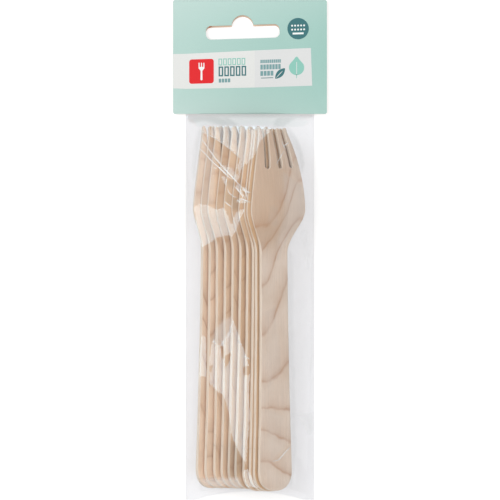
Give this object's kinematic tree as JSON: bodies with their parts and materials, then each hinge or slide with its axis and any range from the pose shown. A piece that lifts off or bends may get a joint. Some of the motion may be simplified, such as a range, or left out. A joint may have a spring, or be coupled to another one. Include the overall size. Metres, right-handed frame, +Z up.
{
  "type": "wooden cutlery pack",
  "caption": "Bundle of wooden forks, fanned and nested, in a clear film bag under a folded card header with a euro hang slot.",
  "frame": {"origin": "middle of the pack's box on the surface that it lies on", "axes": "+X across the pack, +Y along the forks from the handles to the header card, +Z up out of the pack's front"},
  "size_m": [0.068, 0.221, 0.0328],
  "materials": {
    "birch": "bare birch veneer, pressed and unvarnished, cream cut edges",
    "clear_film": "thin clear plastic film, glossy, with soft creases",
    "mint_card": "satin printed card in pale mint over a kraft-coloured core"
  },
  "bodies": {
    "root": {"fork_01": "birch", "fork_02": "birch", "fork_03": "birch", "fork_04": "birch", "fork_05": "birch", "fork_06": "birch", "fork_07": "birch", "fork_08": "birch", "fork_09": "birch", "fork_10": "birch", "film_bag": "clear_film", "header_card": "mint_card"}
  },
  "joints": []
}
